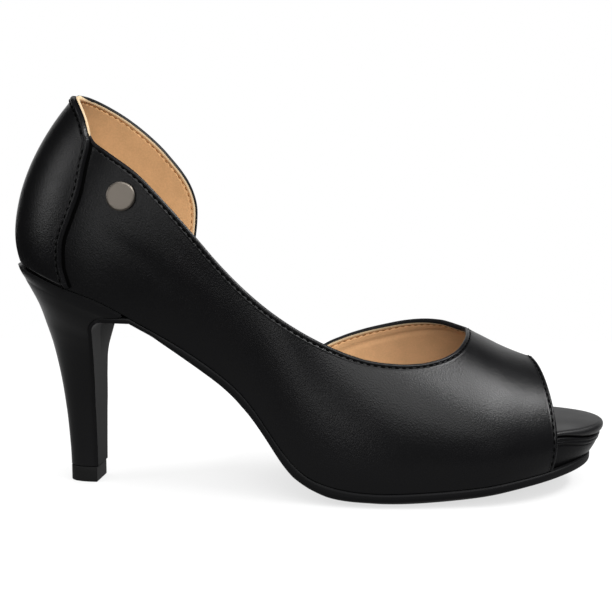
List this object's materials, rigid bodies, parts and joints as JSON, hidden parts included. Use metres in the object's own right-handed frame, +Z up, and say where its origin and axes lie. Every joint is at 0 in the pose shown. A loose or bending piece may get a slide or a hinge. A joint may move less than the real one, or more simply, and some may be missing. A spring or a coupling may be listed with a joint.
{
  "type": "peep-toe court shoe",
  "caption": "Black leather peep-toe court shoe with a slim high heel, hidden platform, open inner waist, raised heel counter and a round metal stud.",
  "frame": {"origin": "on the floor, under the middle of the shoe's bounding box", "axes": "+X from heel to toe, +Y towards the inner side of the foot, +Z up; the shoe stands on its lift and forefoot at z = 0"},
  "size_m": [0.2226, 0.0802, 0.1464],
  "materials": {
    "sole_rubber": "satin black",
    "platform_cover": "satin black",
    "footbed_leather": "matt black",
    "upper_leather": "satin black with a tan lining",
    "counter_leather": "satin black",
    "stud_metal": "satin gunmetal",
    "heel_cover": "satin black",
    "lift_rubber": "matt black"
  },
  "bodies": {
    "root": {"outsole": "sole_rubber", "platform": "platform_cover", "insole": "footbed_leather", "upper": "upper_leather", "counter": "counter_leather", "stud": "stud_metal", "heel": "heel_cover", "top_piece": "lift_rubber"}
  },
  "joints": []
}
